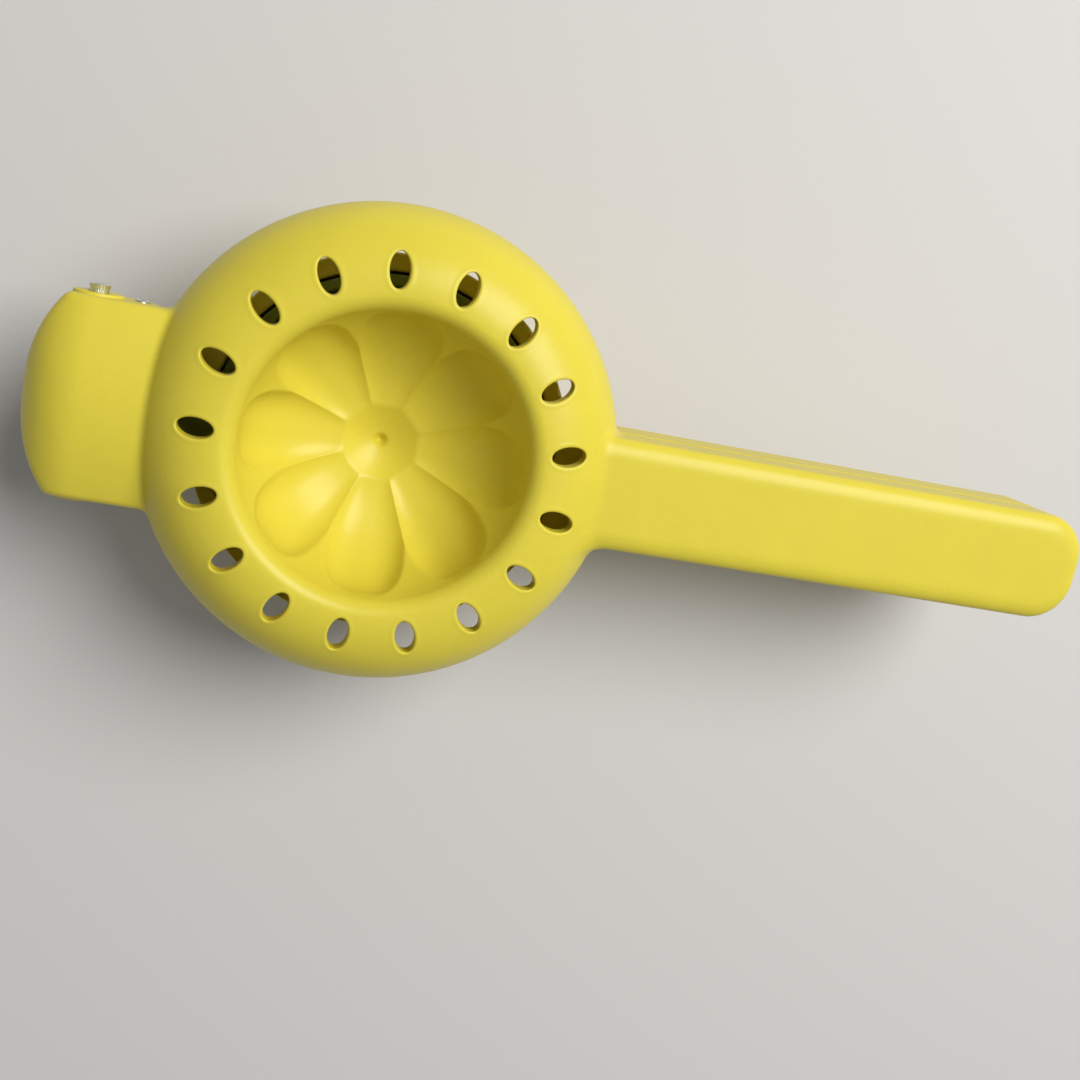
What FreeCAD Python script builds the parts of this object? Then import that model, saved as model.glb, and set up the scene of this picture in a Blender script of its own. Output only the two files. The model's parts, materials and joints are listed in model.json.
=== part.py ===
import math
import os

import FreeCAD
import Part
import Sketcher

# Hinged lemon squeezer, lying closed with its strainer side up, in millimetres.
# Origin: the strainer's axis on the table. +Z up, +X towards the handle tips,
# and the hinge pins lie along Y. Heights are measured from the table.

SIZES = [
    ("rim_level", 38.0, "height of the strainer's open edge"),
    ("ring_radius", 47.5, "outside radius of the strainer ring"),
    ("ring_round", 16.5, "radius of the ring's rounded section"),
    ("wall", 3.0, "cast wall of the strainer and the press cup"),
    ("lip_round", 3.0, "rounding where the ring turns down into its recess"),
    ("bowl_round", 26.0, "radius of the recess's bowl, in section"),
    ("bowl_top", 12.0, "height of the bowl's upper edge above the rim level"),
    ("hub_radius", 8.6, "radius of the hub inside the petals"),
    ("hub_depth", 5.5, "depth of the hub's edge below the rim level"),
    ("dimple_radius", 1.3, "radius of the dimple in the hub"),
    ("dimple_depth", 8.6, "depth of the dimple's floor below the rim level"),
    ("dimple_rise", 0.6, "how far the dimple's floor rises to its edge"),
    ("petal_count", 8, "scooped petals around the hub"),
    ("petal_axis", 4.5, "distance of a petal's turning axis above the bowl's chord"),
    ("petal_swell", 5.2, "largest depth of a petal under that chord"),
    ("petal_peak", 14.5, "where the petal is deepest, from the hub"),
    ("petal_inner_arc", 25.0, "radius of the petal's section towards the hub"),
    ("petal_outer_arc", 13.5, "radius of the petal's section towards the ring"),
    ("petal_start", 2.4, "how far a petal's section reaches over the hub"),
    ("petal_end", 10.6, "reach of the petal's outer section"),
    ("dome_wall", 2.4, "wall of the dome, under the petals too"),
    ("slot_count", 17, "drain slots around the ring"),
    ("slot_circle", 35.2, "radius of the circle of slots"),
    ("slot_length", 7.2, "length of a slot, along the ring's radius"),
    ("slot_width", 4.2, "width of a slot"),
    ("slot_depth", 9.6, "depth of the slots' cut, from one wall above the crest"),
    ("slot_run", 0.667, "share of a slot's length that its long sides span"),
    ("slot_rise", 0.738, "share of its width that its round ends span"),
    ("roof_step", 1.8, "how far the trough's roof reaches over the crest"),
    ("hood_half", 19.4, "half the width of the hinge hood"),
    ("hood_height", 9.0, "hood's crown above the rim level"),
    ("hood_tail", 11.4, "how far the hood's back reaches past the hinge pin"),
    ("hood_arc", 32.0, "radius of the hood's back edge in plan"),
    ("hood_crown", 49.0, "radius of the hood's crown, across its width"),
    ("crown_angle", 60.0, "angle that the crown's section is turned through, in degrees"),
    ("hood_roll", 12.0, "radius of the roll at the hood's back"),
    ("hood_drop", 6.5, "depth of the hood's cheeks below the rim level"),
    ("hood_edge", 1.2, "rounding of the hood's long edges"),
    ("hood_roof", 3.6, "height of the hood's ceiling above the rim level"),
    ("pin_level", 1.5, "depth of both pins below the rim level"),
    ("cup_pin_reach", 49.2, "distance of the inner cup's pin from the ring's axis"),
    ("pin_spacing", 8.0, "distance between the inner cup's pin and the hinge pin"),
    ("hinge_pin_radius", 2.0, "radius of the hinge pin"),
    ("cup_pin_radius", 1.5, "radius of the inner cup's pin"),
    ("running_fit", 0.05, "radial clearance of an arm turning on its pin"),
    ("pin_head", 2.0, "length of the hinge pin outside its boss"),
    ("pin_stub", 0.4, "length of the inner cup's pin outside the hood"),
    ("pin_back", 0.1, "how far both pins' other ends stand out"),
    ("pin_chamfer", 0.3, "chamfer of the pins' ends"),
    ("boss_radius", 4.7, "radius of the bosses around the hinge pin"),
    ("boss_height", 0.5, "height of those bosses"),
    ("handle_reach", 149.4, "distance of the handle tips from the ring's axis"),
    ("handle_half", 11.3, "half the width of both handles"),
    ("handle_top", 12.0, "top of the upper handle above the rim level"),
    ("handle_wall", 2.5, "wall of both handles"),
    ("handle_corner", 8.8, "corner radius of the handle tips"),
    ("handle_edge", 1.8, "rounding of the handles' long edges"),
    ("handle_gap", 0.8, "gap between the two closed handles"),
    ("handle_depth", 12.0, "depth of the lower handle"),
    ("cup_radius", 38.1, "outside radius of the press cup"),
    ("cup_rim", 3.3, "depth of the cups' rims below the rim level"),
    ("cup_rim_width", 3.6, "width of the press cup's rim"),
    ("cup_skirt", 5.0, "height of the press cup's steep skirt"),
    ("cup_draft", 0.5, "how far that skirt draws in"),
    ("cup_round", 36.0, "radius of the press cup's side, in section"),
    ("foot_radius", 22.0, "radius of the press cup's flat crown"),
    ("floor_radius", 21.0, "radius of the flat floor inside it"),
    ("cup_gap", 0.6, "gap between the press cup and the inner cup"),
    ("inner_wall", 2.3, "wall of the inner cup"),
    ("fork_inner", 9.5, "inside of the press arm's fork, from the middle"),
    ("fork_outer", 14.5, "outside of that fork"),
    ("fork_eye", 4.5, "radius of the fork's eyes"),
    ("eye_gap", 0.5, "gap behind the fork's eyes, inside the hood"),
    ("fork_under", 0.6, "gap between the fork and the inner cup's pin"),
    ("fork_depth", 8.0, "depth of the fork where it meets the cup"),
    ("cheek_gap", 0.4, "gap between the fork and the hood's cheeks"),
    ("tongue_half", 8.9, "half the width of the inner cup's tongue"),
    ("tongue_eye", 4.0, "radius of the tongue's eye"),
    ("tongue_thick", 4.0, "thickness of the tongue"),
    ("tongue_lift", 0.3, "gap between the tongue and the press cup's rim"),
    ("inner_rim_rise", 0.7, "how far the inner cup's rim stands above the press cup's"),
    ("rim_edge", 0.6, "rounding of the cups' rims"),
]

FULL_TURN = 360.0
# Lengths nearer than this count as equal when edges are picked.
NEAR = 0.01

doc = FreeCAD.newDocument("LemonSqueezer")
sheet = doc.addObject("Spreadsheet::Sheet", "Sizes")
for row, (alias, number, note) in enumerate(SIZES, start=1):
    sheet.set(f"A{row}", note)
    sheet.set(f"B{row}", str(number))
    sheet.setAlias(f"B{row}", alias)
doc.recompute()


class Size:
    """A length with its number and the sheet formula that gives it."""

    def __init__(self, value, formula):
        self.value = value
        self.formula = formula

    def join(self, sign, other, value):
        return Size(value, f"({self.formula} {sign} {other.formula})")

    def __add__(self, other):
        other = as_size(other)
        return self.join("+", other, self.value + other.value)

    def __sub__(self, other):
        other = as_size(other)
        return self.join("-", other, self.value - other.value)

    def __mul__(self, other):
        other = as_size(other)
        return self.join("*", other, self.value * other.value)

    def __truediv__(self, other):
        other = as_size(other)
        return self.join("/", other, self.value / other.value)

    def __neg__(self):
        return Size(-self.value, f"(0 - {self.formula})")


def as_size(number):
    """A plain number, as a Size."""
    return number if isinstance(number, Size) else Size(float(number), f"{float(number):.9f}")


def size(alias):
    """The sheet's value of that name."""
    return Size(float(sheet.get(alias)), f"Sizes.{alias}")


def root_of(squares):
    """Square root of a Size."""
    return Size(math.sqrt(squares.value), f"sqrt({squares.formula})")


def hinge_reach():
    """Distance of the hinge pin from the ring's axis."""
    return size("cup_pin_reach") + size("pin_spacing")


def above(height):
    """A height given from the strainer's rim level, from the table."""
    return size("rim_level") + height


def new_body(label):
    body = doc.addObject("PartDesign::Body", label)
    body.Label = label
    return body


def plane_of(body, role):
    return [item for item in body.Origin.OriginFeatures if item.Role == role][0]


def new_sketch(body, name, role="XZ_Plane", offset=None):
    """A sketch on one of the body's own planes, moved along its normal."""
    sketch = body.newObject("Sketcher::SketchObject", name)
    sketch.AttachmentSupport = [(plane_of(body, role), "")]
    sketch.MapMode = "FlatFace"
    if offset is not None:
        sketch.setExpression("AttachmentOffset.Base.z", offset.formula)
    return sketch


def fix(sketch, geometry, end, point):
    """Hold one end of a curve at a place given by two sizes."""
    for axis, kind in ((0, "DistanceX"), (1, "DistanceY")):
        index = sketch.addConstraint(Sketcher.Constraint(kind, geometry, end, point[axis].value))
        sketch.setExpression(f"Constraints[{index}]", point[axis].formula)


def outline(sketch, path):
    """Draw a closed outline.

    A corner (x, y) starts a straight line to the next corner, and a corner
    (x, y, radius, side) starts an arc: side is 1 where the arc bulges to the
    left of its chord, and -1 where it bulges to the right.
    """
    corners = [tuple(as_size(v) for v in point[:2]) for point in path]
    first = None
    last = None
    for number, point in enumerate(path):
        here = corners[number]
        there = corners[(number + 1) % len(path)]
        start = FreeCAD.Vector(here[0].value, here[1].value, 0)
        stop = FreeCAD.Vector(there[0].value, there[1].value, 0)
        if len(point) == 2:
            curve = sketch.addGeometry(Part.LineSegment(start, stop), False)
            begin, finish = 1, 2
        else:
            radius, side = as_size(point[2]), point[3]
            chord = stop - start
            left = FreeCAD.Vector(-chord.y, chord.x, 0) * (1 / chord.Length)
            reach = math.sqrt(max(radius.value ** 2 - chord.Length ** 2 / 4, 0.0))
            centre = (start + stop) * 0.5 - left * (reach * side)
            angles = [math.atan2(end.y - centre.y, end.x - centre.x) for end in (start, stop)]
            begin, finish = (1, 2) if side < 0 else (2, 1)
            first_angle, last_angle = angles if side < 0 else reversed(angles)
            if last_angle < first_angle:
                last_angle += 2 * math.pi
            whole = Part.Circle(centre, FreeCAD.Vector(0, 0, 1), radius.value)
            curve = sketch.addGeometry(Part.ArcOfCircle(whole, first_angle, last_angle), False)
            index = sketch.addConstraint(Sketcher.Constraint("Radius", curve, radius.value))
            sketch.setExpression(f"Constraints[{index}]", radius.formula)
        fix(sketch, curve, begin, here)
        if last is not None:
            sketch.addConstraint(Sketcher.Constraint("Coincident", last[0], last[1], curve, begin))
        first = first or (curve, begin)
        last = (curve, finish)
    sketch.addConstraint(Sketcher.Constraint("Coincident", last[0], last[1], first[0], first[1]))


def circle(sketch, x, y, radius):
    x, y, radius = as_size(x), as_size(y), as_size(radius)
    shape = Part.Circle(FreeCAD.Vector(x.value, y.value, 0), FreeCAD.Vector(0, 0, 1), radius.value)
    curve = sketch.addGeometry(shape, False)
    fix(sketch, curve, 3, (x, y))
    index = sketch.addConstraint(Sketcher.Constraint("Radius", curve, radius.value))
    sketch.setExpression(f"Constraints[{index}]", radius.formula)


def axis_line(sketch, start, stop):
    """A construction line that a revolved feature turns about."""
    start, stop = [tuple(as_size(v) for v in point) for point in (start, stop)]
    ends = [FreeCAD.Vector(point[0].value, point[1].value, 0) for point in (start, stop)]
    line = sketch.addGeometry(Part.LineSegment(*ends), True)
    fix(sketch, line, 1, start)
    fix(sketch, line, 2, stop)


def finished(feature):
    """Recompute, and stop where the feature has no valid shape."""
    doc.recompute()
    if "Invalid" in feature.State or feature.Shape.isNull():
        raise RuntimeError(f"{feature.Name} of {feature.getParentGeoFeatureGroup().Label} failed: "
                           f"{feature.getStatusString()}")
    return feature


def extrude(body, kind, name, sketch, length, both=False, flip=False):
    feature = body.newObject(f"PartDesign::{kind}", name)
    feature.Profile = sketch
    feature.setExpression("Length", as_size(length).formula)
    feature.Midplane = both
    feature.Reversed = flip
    return finished(feature)


def turn(body, kind, name, sketch, axis="V_Axis", angle=None):
    """Turn a sketch about its axis: all round, or an angle shared by both sides."""
    feature = body.newObject(f"PartDesign::{kind}", name)
    feature.Profile = sketch
    feature.ReferenceAxis = (sketch, [axis])
    feature.Midplane = angle is not None
    feature.setExpression("Angle", (angle or as_size(FULL_TURN)).formula)
    return finished(feature)


def ring_pattern(body, name, feature, count):
    """Repeat a feature around the Z axis."""
    pattern = body.newObject("PartDesign::PolarPattern", name)
    pattern.Originals = [feature]
    z_axis = [item for item in body.Origin.OriginFeatures if item.Role == "Z_Axis"][0]
    pattern.Axis = (z_axis, [""])
    pattern.Angle = FULL_TURN
    pattern.setExpression("Occurrences", count.formula)
    body.Tip = pattern
    return finished(pattern)


def round_edges(body, name, radius, chosen):
    """Fillet the edges of the body's last feature for which chosen is true."""
    base = body.Tip
    names = [f"Edge{n}" for n, edge in enumerate(base.Shape.Edges, start=1) if chosen(edge)]
    fillet = body.newObject("PartDesign::Fillet", name)
    fillet.Base = (base, names)
    fillet.setExpression("Radius", radius.formula)
    return finished(fillet)


def cut_check(before, feature):
    """A pocket or groove has to take material away."""
    if feature.Shape.Volume > before - NEAR:
        raise RuntimeError(f"{feature.Label} cuts nothing")


def bowl_frame():
    """The recess's bowl in section: its chord's start, length and direction."""
    start = (size("hub_radius"), above(-size("hub_depth")))
    stop = (size("ring_radius") - size("ring_round") - size("lip_round"), above(size("bowl_top")))
    run, rise = stop[0] - start[0], stop[1] - start[1]
    length = root_of(run * run + rise * rise)
    return start, stop, run / length, rise / length


def on_bowl(along, depth):
    """A place in the section, along the bowl's chord and under it."""
    start, _, run, rise = bowl_frame()
    along, depth = as_size(along), as_size(depth)
    return (start[0] + run * along + rise * depth, start[1] + rise * along - run * depth)


def petal_section(sketch, grow):
    """Half the section of one petal, grown outwards, and its turning axis."""
    axis = -size("petal_axis")
    inner = -size("petal_start")
    outer = size("petal_peak") + size("petal_end")
    deep = size("petal_swell") + grow
    inner_deep = deep - (size("petal_inner_arc") - root_of(
        size("petal_inner_arc") * size("petal_inner_arc")
        - (size("petal_peak") - inner) * (size("petal_peak") - inner)))
    outer_deep = deep - (size("petal_outer_arc") - root_of(
        size("petal_outer_arc") * size("petal_outer_arc")
        - size("petal_end") * size("petal_end")))
    outline(sketch, [
        on_bowl(inner, axis),
        on_bowl(inner, inner_deep) + (size("petal_inner_arc"), -1),
        on_bowl(size("petal_peak"), deep) + (size("petal_outer_arc"), -1),
        on_bowl(outer, outer_deep),
        on_bowl(outer, axis),
    ])
    axis_line(sketch, on_bowl(inner, axis), on_bowl(outer, axis))


def handle_plan(sketch, root, half, reach, corner):
    """Plan of a handle: parallel sides and a rounded tip."""
    outline(sketch, [
        (root, -half),
        (reach - corner, -half, corner, -1),
        (reach, -half + corner),
        (reach, half - corner, corner, -1),
        (reach - corner, half),
        (root, half),
    ])


def make_strainer():
    """The yellow strainer arm: ring, petalled dome, hinge hood and upper handle."""
    body = new_body("strainer_arm")
    ring, tube, wall = size("ring_radius"), size("ring_round"), size("wall")
    crown = ring - tube
    crest = above(tube)
    half, back = size("hood_half"), hinge_reach() + size("hood_tail")
    top, roll = above(size("hood_height")), size("hood_roll")
    skirt = above(-size("hood_drop"))
    hinge, level = -hinge_reach(), above(-size("pin_level"))

    side = new_sketch(body, "hood_side")
    outline(side, [
        (-(ring - wall - wall), top + wall),
        (-(back + wall), top + wall),
        (-(back + wall), level),
        (hinge - size("boss_radius"), level),
        (hinge, skirt),
        (-size("cup_pin_reach"), skirt),
        (-(ring - wall / 2), above(0)),
        (-(ring - wall - wall), above(0)),
    ])
    extrude(body, "Pad", "hood", side, half * 2, both=True)

    boss = new_sketch(body, "boss_circle")
    circle(boss, hinge, level, size("boss_radius"))
    extrude(body, "Pad", "boss", boss, (half + size("boss_height")) * 2, both=True)

    corner = new_sketch(body, "hood_corners", "XY_Plane")
    beyond = half + wall
    arc = size("hood_arc")
    turn_in = arc - root_of(arc * arc - beyond * beyond)
    outline(corner, [
        (-back + turn_in, beyond, arc, -1),
        (-back + turn_in, -beyond),
        (-back - wall, -beyond),
        (-back - wall, beyond),
    ])
    volume = body.Tip.Shape.Volume
    cut_check(volume, extrude(body, "Pocket", "hood_back_arc", corner, crest * 2, both=True))

    crown_cut = new_sketch(body, "hood_crown")
    outline(crown_cut, [
        (-(crown - wall), top),
        (-(back - roll), top, roll, -1),
        (-back, top - roll),
        (-back - wall, top - roll),
        (-back - wall, crest + wall),
        (-(crown - wall), crest + wall),
    ])
    centre = top - size("hood_crown")
    axis_line(crown_cut, (-back, centre), (-(crown - wall), centre))
    volume = body.Tip.Shape.Volume
    cut_check(volume, turn(body, "Groove", "hood_crown_cut", crown_cut, "Axis0",
                           size("crown_angle")))
    round_edges(body, "hood_edges", size("hood_edge"), hood_edge_chosen)

    plan = new_sketch(body, "handle_plan", "XY_Plane", above(0))
    handle_plan(plan, crown, size("handle_half"), size("handle_reach"), size("handle_corner"))
    extrude(body, "Pad", "handle", plan, size("handle_top"))
    handle_level = above(size("handle_top")).value
    round_edges(body, "handle_edges", size("handle_edge"),
                lambda line: flat_at(line, handle_level) and line.BoundBox.XMax > ring.value)

    block = new_sketch(body, "ring_block")
    outline(block, [
        (0, above(0)), (ring, above(0), tube, -1), (crown, crest), (0, crest),
    ])
    turn(body, "Revolution", "ring", block)

    under = size("dome_wall")
    start, stop, _, _ = bowl_frame()
    dome_arc = size("bowl_round") + under
    dome_low = (start[0], start[1] - under)
    dome_high = (stop[0] + under, stop[1] - under)
    inside = tube - wall
    step = size("roof_step")
    roof = above(root_of(inside * inside - step * step))
    trough = new_sketch(body, "trough_section")
    outline(trough, [
        (crown + inside, above(0), inside, -1),
        (crown + step, roof),
        dome_high + (dome_arc, 1),
        dome_low,
        (crown + inside, dome_low[1]),
    ])
    volume = body.Tip.Shape.Volume
    cut_check(volume, turn(body, "Groove", "trough", trough))

    hollow = size("fork_outer") + size("cheek_gap")
    front = -(ring - wall * 2)
    deep = new_sketch(body, "hood_hollow_plan", "XY_Plane", above(size("hood_roof")))
    eye_back = hinge - size("fork_eye") - size("eye_gap")
    outline(deep, [(eye_back, -hollow), (front, -hollow), (front, hollow), (eye_back, hollow)])
    volume = body.Tip.Shape.Volume
    cut_check(volume, extrude(body, "Pocket", "hood_hollow", deep, above(0)))

    channel = new_sketch(body, "channel_plan", "XY_Plane", above(0))
    skin = size("handle_wall")
    handle_plan(channel, ring + skin, size("handle_half") - skin, size("handle_reach") - skin,
                size("handle_corner") - skin)
    volume = body.Tip.Shape.Volume
    cut_check(volume, extrude(body, "Pocket", "handle_channel", channel,
                              size("handle_top") - skin, flip=True))

    dome = new_sketch(body, "dome_section")
    outline(dome, [
        (0, above(-size("dimple_depth") - under)), dome_low + (dome_arc, -1), dome_high,
        (0, dome_high[1]),
    ])
    turn(body, "Revolution", "dome", dome)
    lobe = new_sketch(body, "lobe_section")
    petal_section(lobe, under)
    half_turn = as_size(FULL_TURN / 2)
    ring_pattern(body, "lobes", turn(body, "Revolution", "lobe", lobe, "Axis0", half_turn),
                 size("petal_count"))

    recess = new_sketch(body, "recess_section")
    lip = size("lip_round")
    outline(recess, [
        (0, above(-size("dimple_depth"))),
        (size("dimple_radius"), above(size("dimple_rise") - size("dimple_depth"))),
        start + (size("bowl_round"), -1),
        stop,
        (crown - lip, crest - lip, lip, 1),
        (crown, crest),
        (crown, crest + wall),
        (0, crest + wall),
    ])
    volume = body.Tip.Shape.Volume
    cut_check(volume, turn(body, "Groove", "recess", recess))
    petal = new_sketch(body, "petal_section")
    petal_section(petal, 0)
    volume = body.Tip.Shape.Volume
    groove = turn(body, "Groove", "petal", petal, "Axis0")
    cut_check(volume, groove)
    ring_pattern(body, "petals", groove, size("petal_count"))

    slot = new_sketch(body, "slot_plan", "XY_Plane", crest + wall)
    oval(slot, -size("slot_circle"), 0, size("slot_length") / 2, size("slot_width") / 2)
    volume = body.Tip.Shape.Volume
    pocket = extrude(body, "Pocket", "slot", slot, size("slot_depth"))
    cut_check(volume, pocket)
    ring_pattern(body, "slots", pocket, size("slot_count"))

    bores = new_sketch(body, "pin_bores")
    circle(bores, hinge, level, size("hinge_pin_radius"))
    circle(bores, -size("cup_pin_reach"), level, size("cup_pin_radius"))
    volume = body.Tip.Shape.Volume
    cut_check(volume, extrude(body, "Pocket", "bores", bores, half * 4, both=True))
    return body


def oval(sketch, x, y, half_length, half_width):
    """An oval of four arcs: two long sides and two round ends."""
    x, y = as_size(x), as_size(y)
    run, rise = half_length * size("slot_run"), half_width * size("slot_rise")
    swell, reach = half_width - rise, half_length - run
    side = (run * run + swell * swell) / (swell * 2)
    end = (rise * rise + reach * reach) / (reach * 2)
    outline(sketch, [
        (x - run, y + rise, side, 1),
        (x + run, y + rise, end, 1),
        (x + run, y - rise, side, 1),
        (x - run, y - rise, end, 1),
    ])


def flat_at(edge, height):
    """Whether an edge lies in the horizontal plane at that height."""
    box = edge.BoundBox
    return abs(box.ZMin - height) < NEAR and abs(box.ZMax - height) < NEAR


def hood_edge_chosen(edge):
    """The long edges between the hood's crown and its cheeks."""
    box = edge.BoundBox
    side = abs(abs(box.Center.y) - size("hood_half").value) < NEAR
    straight = edge.Curve.TypeId != "Part::GeomCircle"
    lengthwise = box.YLength < NEAR and box.XLength > size("wall").value and straight
    return side and lengthwise and box.ZMin > above(size("pin_level")).value


def make_press():
    """The yellow press arm: outer cup, fork with two eyes and lower handle."""
    body = new_body("press_arm")
    rim = above(-size("cup_rim"))
    radius, wide, wall = size("cup_radius"), size("cup_rim_width"), size("wall")
    skirt, draft, foot = size("cup_skirt"), size("cup_draft"), size("foot_radius")
    top = above(-size("handle_gap"))
    skin, edge = size("handle_wall"), size("rim_edge")

    plan = new_sketch(body, "handle_plan", "XY_Plane", top)
    handle_plan(plan, radius - wall, size("handle_half"), size("handle_reach"),
                size("handle_corner"))
    extrude(body, "Pad", "handle", plan, size("handle_depth"), flip=True)
    low = (top - size("handle_depth")).value
    round_edges(body, "handle_edges", size("handle_edge"),
                lambda line: flat_at(line, low) and line.BoundBox.XMax > radius.value)
    channel = new_sketch(body, "channel_plan", "XY_Plane", top)
    handle_plan(channel, size("ring_radius") + skin, size("handle_half") - skin,
                size("handle_reach") - skin, size("handle_corner") - skin)
    volume = body.Tip.Shape.Volume
    cut_check(volume, extrude(body, "Pocket", "handle_channel", channel,
                              size("handle_depth") - skin))

    level = above(-size("pin_level"))
    eye = size("fork_eye")
    hinge = -hinge_reach()
    arm_top = level - size("cup_pin_radius") - size("fork_under")
    inner, outer = size("fork_inner"), size("fork_outer")
    arms = new_sketch(body, "fork_side")
    outline(arms, [
        (hinge, level - eye),
        (-(radius - wall), arm_top - size("fork_depth")),
        (-(radius - wall), arm_top),
        (hinge, arm_top),
    ])
    extrude(body, "Pad", "fork", arms, outer * 2, both=True)
    eyes = new_sketch(body, "eye_circle")
    circle(eyes, hinge, level, eye)
    extrude(body, "Pad", "eyes", eyes, outer * 2, both=True)
    between = new_sketch(body, "fork_gap", "XY_Plane", level + eye)
    outline(between, [
        (hinge - eye - wall, -inner), (-(radius - wall), -inner),
        (-(radius - wall), inner), (hinge - eye - wall, inner),
    ])
    volume = body.Tip.Shape.Volume
    cut_check(volume, extrude(body, "Pocket", "fork_opening", between, level))

    cup = new_sketch(body, "cup_section")
    outline(cup, [
        (0, 0), (foot, 0, size("cup_round"), -1), (radius - draft, rim - skirt),
        (radius, rim - edge, edge, -1), (radius - edge, rim), (0, rim),
    ])
    turn(body, "Revolution", "cup", cup)
    inside = new_sketch(body, "cup_inside")
    mouth = radius - wide
    outline(inside, [
        (0, wall), (size("floor_radius"), wall, size("cup_round") - wall, -1),
        (mouth - draft, rim - skirt), (mouth, rim - edge, edge, 1), (mouth + edge, rim),
        (mouth + edge, above(0)), (0, above(0)),
    ])
    volume = body.Tip.Shape.Volume
    cut_check(volume, turn(body, "Groove", "cup_hollow", inside))

    bore = new_sketch(body, "eye_bore")
    circle(bore, hinge, level, size("hinge_pin_radius") + size("running_fit"))
    volume = body.Tip.Shape.Volume
    cut_check(volume, extrude(body, "Pocket", "bore", bore, outer * 4, both=True))
    return body


def make_inner():
    """The green inner cup, with the tongue that hangs it on its own pin."""
    body = new_body("inner_cup")
    wall, gap, draft = size("inner_wall"), size("cup_gap"), size("cup_draft")
    press_rim = above(-size("cup_rim"))
    rim = press_rim + size("inner_rim_rise")
    radius = size("cup_radius") - size("cup_rim_width") - gap
    foot = size("floor_radius") - gap
    floor = size("wall") + gap
    bend = size("cup_round") - size("wall")
    shoulder = press_rim - size("cup_skirt")
    level = above(-size("pin_level"))
    pin = -size("cup_pin_reach")
    half, edge = size("tongue_half"), size("rim_edge")

    cup = new_sketch(body, "cup_section")
    outline(cup, [
        (0, floor), (foot, floor, bend, -1), (radius - draft, shoulder),
        (radius, rim - edge, edge, -1), (radius - edge, rim), (0, rim),
    ])
    turn(body, "Revolution", "cup", cup)
    low = press_rim + size("tongue_lift")
    tongue = new_sketch(body, "tongue_side")
    outline(tongue, [
        (pin, low), (-(radius - wall * 2), low),
        (-(radius - wall * 2), low + size("tongue_thick")), (pin, low + size("tongue_thick")),
    ])
    extrude(body, "Pad", "tongue", tongue, half * 2, both=True)
    eye = new_sketch(body, "eye_circle")
    circle(eye, pin, level, size("tongue_eye"))
    extrude(body, "Pad", "eye", eye, half * 2, both=True)
    inside = new_sketch(body, "cup_inside")
    outline(inside, [
        (0, floor + wall), (foot - gap, floor + wall, bend - wall, -1),
        (radius - wall - draft, shoulder), (radius - wall, rim - edge, edge, 1),
        (radius - wall + edge, rim), (radius - wall + edge, above(size("tongue_eye"))),
        (0, above(size("tongue_eye"))),
    ])
    volume = body.Tip.Shape.Volume
    cut_check(volume, turn(body, "Groove", "cup_hollow", inside))
    bore = new_sketch(body, "eye_bore")
    circle(bore, pin, level, size("cup_pin_radius") + size("running_fit"))
    volume = body.Tip.Shape.Volume
    cut_check(volume, extrude(body, "Pocket", "bore", bore, half * 4, both=True))
    return body


def make_pin(label, reach, radius, low_end, high_end):
    """A plain steel pin along Y, through both cheeks of the hood."""
    body = new_body(label)
    end = new_sketch(body, "pin_circle", "XZ_Plane", -high_end)
    circle(end, -reach, above(-size("pin_level")), radius)
    extrude(body, "Pad", "pin", end, high_end + low_end)
    rod = body.Tip
    rims = [n for n, edge in enumerate(rod.Shape.Edges, start=1) if edge.BoundBox.YLength < NEAR]
    chamfer = body.newObject("PartDesign::Chamfer", "pin_ends")
    chamfer.Base = (rod, [f"Edge{n}" for n in rims])
    chamfer.setExpression("Size", size("pin_chamfer").formula)
    finished(chamfer)
    return body


doc.recompute()
outer_face = size("hood_half") + size("boss_height")
parts = [
    make_strainer(),
    make_press(),
    make_inner(),
    make_pin("hinge_pin", hinge_reach(), size("hinge_pin_radius"),
             outer_face + size("pin_back"), outer_face + size("pin_head")),
    make_pin("cup_pin", size("cup_pin_reach"), size("cup_pin_radius"),
             size("hood_half") + size("pin_back"), size("hood_half") + size("pin_stub")),
]
doc.recompute()

for item in doc.Objects:
    if "Invalid" in item.State or "Error" in item.State:
        raise RuntimeError(f"{item.Label} is not valid: {item.State}")
os.makedirs("parts", exist_ok=True)
for part in parts:
    if part.Shape.isNull() or not part.Shape.isValid():
        raise RuntimeError(f"{part.Label} has no valid shape")
    part.Shape.exportStep(f"parts/{part.Label}.step")
    box = part.Shape.BoundBox
    print(part.Label, f"{part.Shape.Volume:.0f} mm3", len(part.Shape.Solids), "solid",
          f"x {box.XMin:.1f}..{box.XMax:.1f} y {box.YMin:.1f}..{box.YMax:.1f}",
          f"z {box.ZMin:.1f}..{box.ZMax:.1f}")
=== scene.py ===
"""Looks of a hinged lemon squeezer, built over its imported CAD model.

Sizes are in millimetres in the classes and in metres in the meshes. Heights are
counted from the strainer's rim, which lies 38 mm above the table.
"""

from __future__ import annotations

import json
import logging
import math
from collections.abc import Callable
from dataclasses import dataclass
from enum import Enum

import bmesh
import bpy
import numpy as np
from mathutils import Matrix, Vector

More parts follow.
